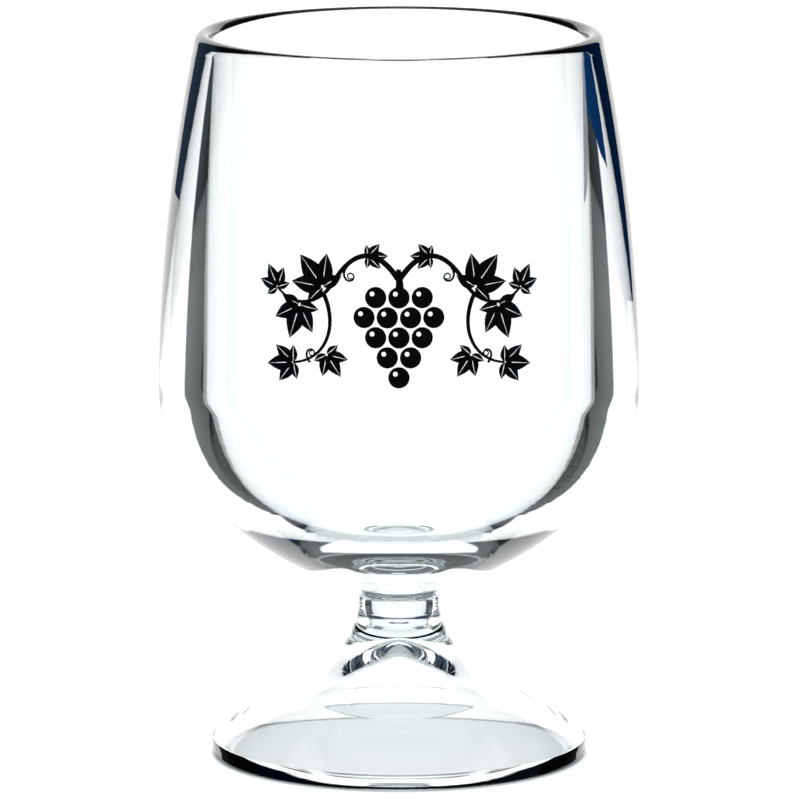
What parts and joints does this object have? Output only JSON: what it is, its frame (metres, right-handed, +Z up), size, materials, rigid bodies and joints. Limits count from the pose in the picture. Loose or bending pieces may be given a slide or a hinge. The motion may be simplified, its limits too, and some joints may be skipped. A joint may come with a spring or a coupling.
{
  "type": "plastic wine glass",
  "caption": "Clear plastic wine glass with a tulip bowl that pushes by a round peg into the neck of a hollow trumpet foot.",
  "frame": {"origin": "on the table, under the middle of the foot", "axes": "+Z up along the glass's own axis, -Y towards the printed front"},
  "size_m": [0.0838, 0.0838, 0.127],
  "materials": {
    "clear_plastic": "clear, polished in the mould",
    "print_ink": "satin black screen ink"
  },
  "bodies": {
    "foot": {"foot": "clear_plastic"},
    "bowl": {"bowl": "clear_plastic"}
  },
  "joints": [
    {"name": "bowl_pull_off", "type": "slide", "parent": "foot", "child": "bowl", "axis": [0, 0, 1], "range_m": [0, 0.008]}
  ]
}
